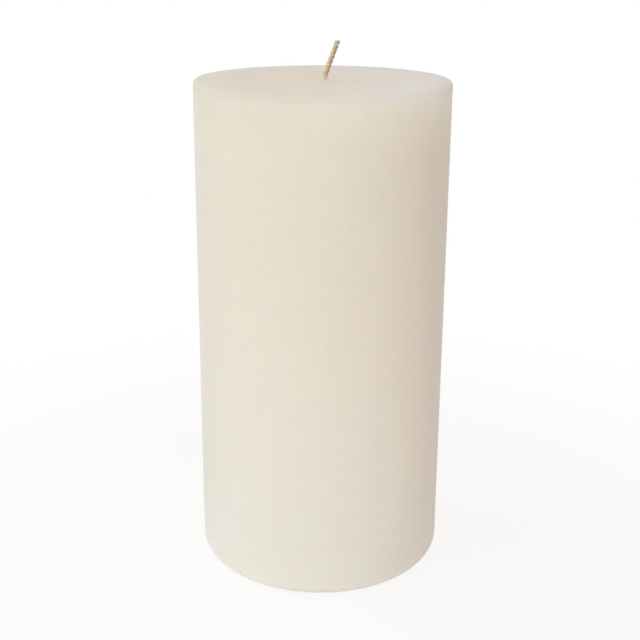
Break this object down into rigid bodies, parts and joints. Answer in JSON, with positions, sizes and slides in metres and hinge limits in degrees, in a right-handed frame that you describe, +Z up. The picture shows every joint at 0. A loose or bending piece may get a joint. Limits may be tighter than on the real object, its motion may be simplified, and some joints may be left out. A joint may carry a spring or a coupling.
{
  "type": "pillar candle",
  "caption": "Tall round pillar candle with a softly rounded base edge and a bare leaning wick in the middle of its flat top.",
  "frame": {"origin": "centre of the base, on the surface that the candle stands on", "axes": "+Z up along the pillar; the free end of the wick leans towards +X; -Y faces the viewer of the picture"},
  "size_m": [0.1, 0.1, 0.2131],
  "materials": {
    "wax": "ivory candle wax, slightly translucent, with a soft low sheen",
    "cotton": "twisted unbleached cotton cord, lightly waxed",
    "tinplate": "bright tinned sheet steel"
  },
  "bodies": {
    "root": {"wax_body": "wax", "wick": "cotton", "wick_sustainer": "tinplate"}
  },
  "joints": []
}
